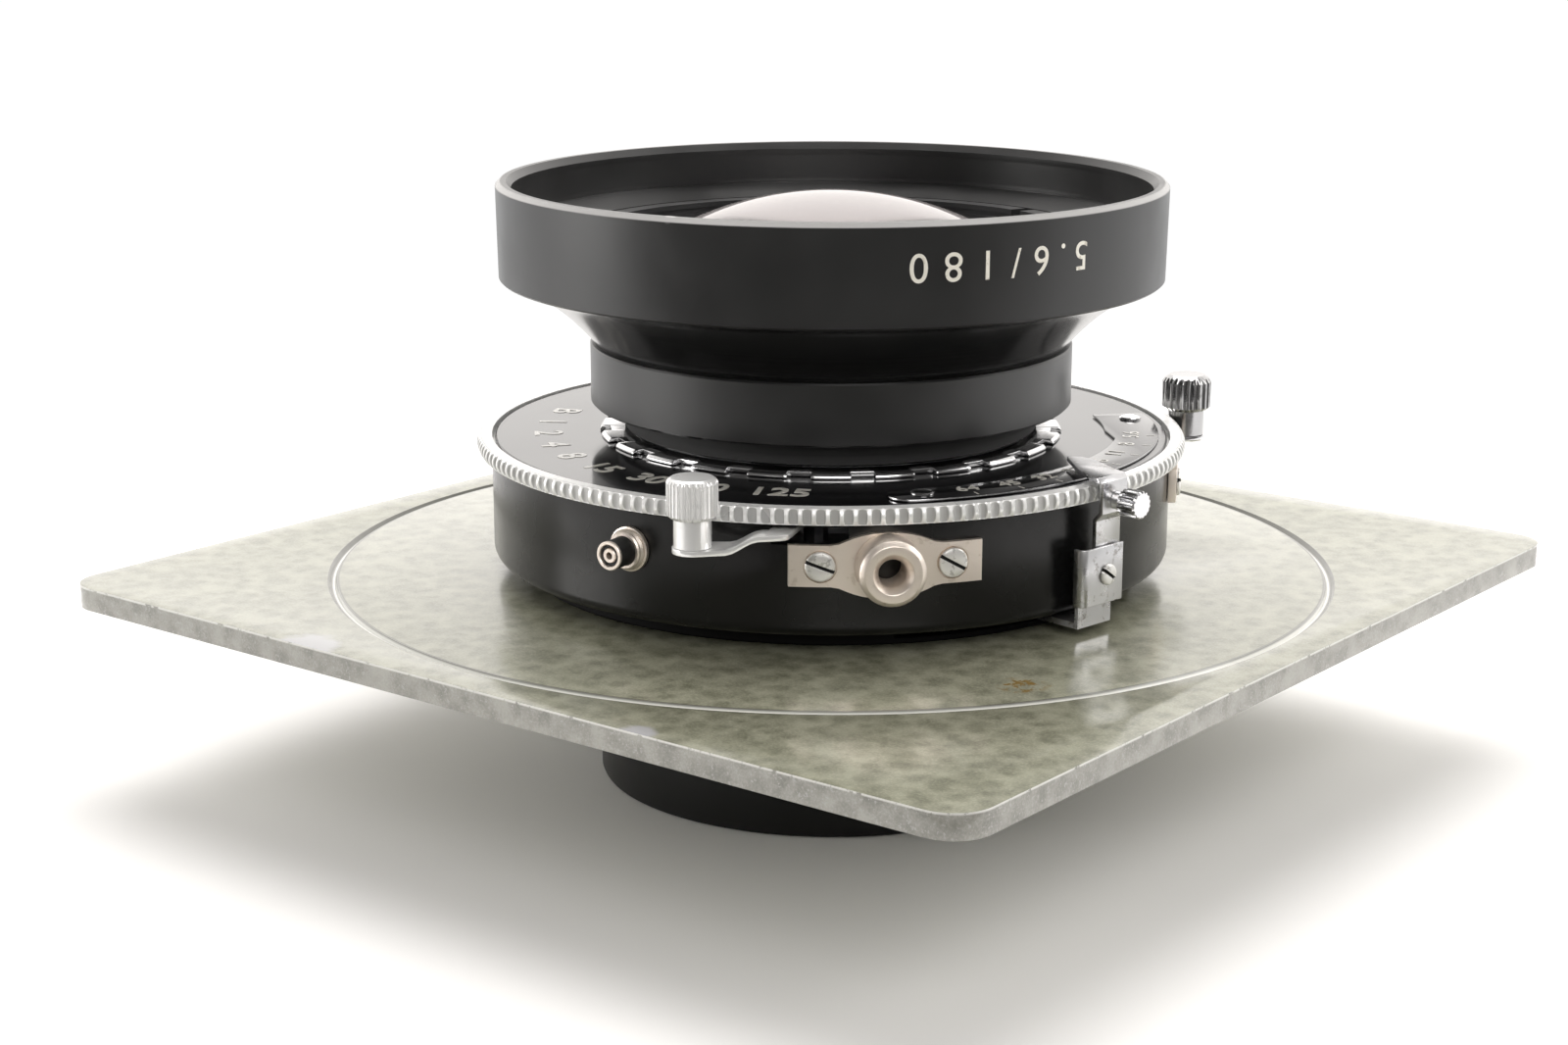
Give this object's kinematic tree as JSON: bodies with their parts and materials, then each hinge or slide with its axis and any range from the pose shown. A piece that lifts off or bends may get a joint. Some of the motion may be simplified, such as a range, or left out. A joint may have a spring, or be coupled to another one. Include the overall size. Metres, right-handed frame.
{
  "type": "view camera lens in leaf shutter on lens board",
  "caption": "Large-format camera lens in a leaf shutter with aperture, release and focusing levers, mounted on a square metal lens board.",
  "frame": {"origin": "on the optical axis at the rear rim that the lens stands on, bottom centre", "axes": "+Z along the optical axis towards the subject, X and Y along the board's edges"},
  "size_m": [0.1142, 0.1142, 0.0639],
  "materials": {
    "black_anodised": "satin black anodised",
    "black_paint": "semi-gloss black",
    "gloss_black": "gloss black enamel",
    "chrome": "bright satin chrome",
    "steel": "satin",
    "nickel": "brushed nickel silver",
    "blade_steel": "blued, dull",
    "glass": "coated optical glass, polished",
    "hammertone": "glossy grey-green hammertone paint",
    "insulator": "black moulded"
  },
  "bodies": {
    "lens": {"lens_board": "hammertone", "retaining_ring": "black_anodised", "rear_flange": "black_paint", "shutter_case": "black_paint", "blade_plate": "steel", "main_plate": "steel", "face_plate": "gloss_black", "slotted_ring": "chrome", "aperture_scale": "gloss_black", "scale_rivet_1": "chrome", "scale_rivet_2": "chrome", "release_post": "steel", "focus_post": "steel", "cable_plate": "nickel", "cable_bush": "nickel", "cable_screw_1": "chrome", "cable_screw_2": "chrome", "side_plate": "nickel", "side_screw_1": "chrome", "side_screw_2": "chrome", "sync_collar": "nickel", "sync_sleeve": "insulator", "sync_shell": "nickel", "sync_insulator": "insulator", "sync_contact": "nickel", "front_barrel": "black_anodised", "front_glass": "glass", "front_retainer": "black_anodised", "front_inner_glass": "glass", "rear_barrel": "black_anodised", "rear_glass": "glass", "rear_retainer": "black_anodised", "rear_inner_glass": "glass"},
    "speed_dial": {"speed_ring": "chrome"},
    "aperture": {"iris_ring": "steel", "pointer_arm": "steel", "lever_sleeve": "steel", "lever_screw": "chrome", "pointer_grip": "chrome"},
    "release": {"release_lever": "chrome", "release_knob": "chrome"},
    "press_focus": {"focus_lever": "chrome", "focus_knob": "chrome"},
    "drive_ring": {"blade_ring": "steel"},
    "iris_blade_1": {"iris_blade_1": "blade_steel"},
    "iris_blade_2": {"iris_blade_2": "blade_steel"},
    "iris_blade_3": {"iris_blade_3": "blade_steel"},
    "iris_blade_4": {"iris_blade_4": "blade_steel"},
    "iris_blade_5": {"iris_blade_5": "blade_steel"},
    "shutter_blade_1": {"shutter_blade_1": "blade_steel"},
    "shutter_blade_2": {"shutter_blade_2": "blade_steel"},
    "shutter_blade_3": {"shutter_blade_3": "blade_steel"},
    "shutter_blade_4": {"shutter_blade_4": "blade_steel"},
    "shutter_blade_5": {"shutter_blade_5": "blade_steel"}
  },
  "joints": [
    {"name": "speed_turn", "type": "hinge", "parent": "lens", "child": "speed_dial", "pos_m": [0, 0, 0.0366], "axis": [0, 0, 1], "range_deg": [-50, 50]},
    {"name": "aperture_turn", "type": "hinge", "parent": "lens", "child": "aperture", "pos_m": [0, 0, 0.0237], "axis": [0, 0, 1], "range_deg": [-25.2, 33.5]},
    {"name": "release_press", "type": "hinge", "parent": "lens", "child": "release", "pos_m": [0.01427, -0.02101, 0.0349], "axis": [0, 0, 1], "range_deg": [0, 22], "stiffness_Nm_per_rad": 0.02},
    {"name": "focus_press", "type": "hinge", "parent": "lens", "child": "press_focus", "pos_m": [0.00865, 0.02388, 0.0349], "axis": [0, 0, 1], "range_deg": [0, 22]},
    {"name": "drive_ring_turn", "type": "hinge", "parent": "lens", "child": "drive_ring", "pos_m": [0, 0, 0.0299], "axis": [0, 0, 1], "range_deg": [0, 4.31]},
    {"name": "iris_blade_turn_1", "type": "hinge", "parent": "lens", "child": "iris_blade_1", "pos_m": [0.02631, 0.00958, 0.026], "axis": [0, 0, 1], "range_deg": [-16.2, 12.2]},
    {"name": "iris_blade_turn_2", "type": "hinge", "parent": "lens", "child": "iris_blade_2", "pos_m": [-0.00098, 0.02798, 0.026], "axis": [0, 0, 1], "range_deg": [-16.2, 12.2]},
    {"name": "iris_blade_turn_3", "type": "hinge", "parent": "lens", "child": "iris_blade_3", "pos_m": [-0.02692, 0.00772, 0.026], "axis": [0, 0, 1], "range_deg": [-16.2, 12.2]},
    {"name": "iris_blade_turn_4", "type": "hinge", "parent": "lens", "child": "iris_blade_4", "pos_m": [-0.01566, -0.02321, 0.026], "axis": [0, 0, 1], "range_deg": [-16.2, 12.2]},
    {"name": "iris_blade_turn_5", "type": "hinge", "parent": "lens", "child": "iris_blade_5", "pos_m": [0.01724, -0.02206, 0.026], "axis": [0, 0, 1], "range_deg": [-16.2, 12.2]},
    {"name": "shutter_blade_turn_1", "type": "hinge", "parent": "lens", "child": "shutter_blade_1", "pos_m": [0.01993, 0.02375, 0.0285], "axis": [0, 0, 1], "range_deg": [-30.95, 0]},
    {"name": "shutter_blade_turn_2", "type": "hinge", "parent": "lens", "child": "shutter_blade_2", "pos_m": [-0.01643, 0.02629, 0.0285], "axis": [0, 0, 1], "range_deg": [-30.95, 0]},
    {"name": "shutter_blade_turn_3", "type": "hinge", "parent": "lens", "child": "shutter_blade_3", "pos_m": [-0.03008, -0.0075, 0.0285], "axis": [0, 0, 1], "range_deg": [-30.95, 0]},
    {"name": "shutter_blade_turn_4", "type": "hinge", "parent": "lens", "child": "shutter_blade_4", "pos_m": [-0.00216, -0.03092, 0.0285], "axis": [0, 0, 1], "range_deg": [-30.95, 0]},
    {"name": "shutter_blade_turn_5", "type": "hinge", "parent": "lens", "child": "shutter_blade_5", "pos_m": [0.02874, -0.01161, 0.0285], "axis": [0, 0, 1], "range_deg": [-30.95, 0]}
  ],
  "couplings": [
    {"joint": "drive_ring_turn", "follows": "focus_press", "ratio": 0.19545},
    {"joint": "iris_blade_turn_1", "follows": "aperture_turn", "ratio": -0.48211},
    {"joint": "iris_blade_turn_2", "follows": "aperture_turn", "ratio": -0.48211},
    {"joint": "iris_blade_turn_3", "follows": "aperture_turn", "ratio": -0.48211},
    {"joint": "iris_blade_turn_4", "follows": "aperture_turn", "ratio": -0.48211},
    {"joint": "iris_blade_turn_5", "follows": "aperture_turn", "ratio": -0.48211},
    {"joint": "shutter_blade_turn_1", "follows": "focus_press", "ratio": -1.4045},
    {"joint": "shutter_blade_turn_2", "follows": "focus_press", "ratio": -1.4045},
    {"joint": "shutter_blade_turn_3", "follows": "focus_press", "ratio": -1.4045},
    {"joint": "shutter_blade_turn_4", "follows": "focus_press", "ratio": -1.4045},
    {"joint": "shutter_blade_turn_5", "follows": "focus_press", "ratio": -1.4045}
  ]
}
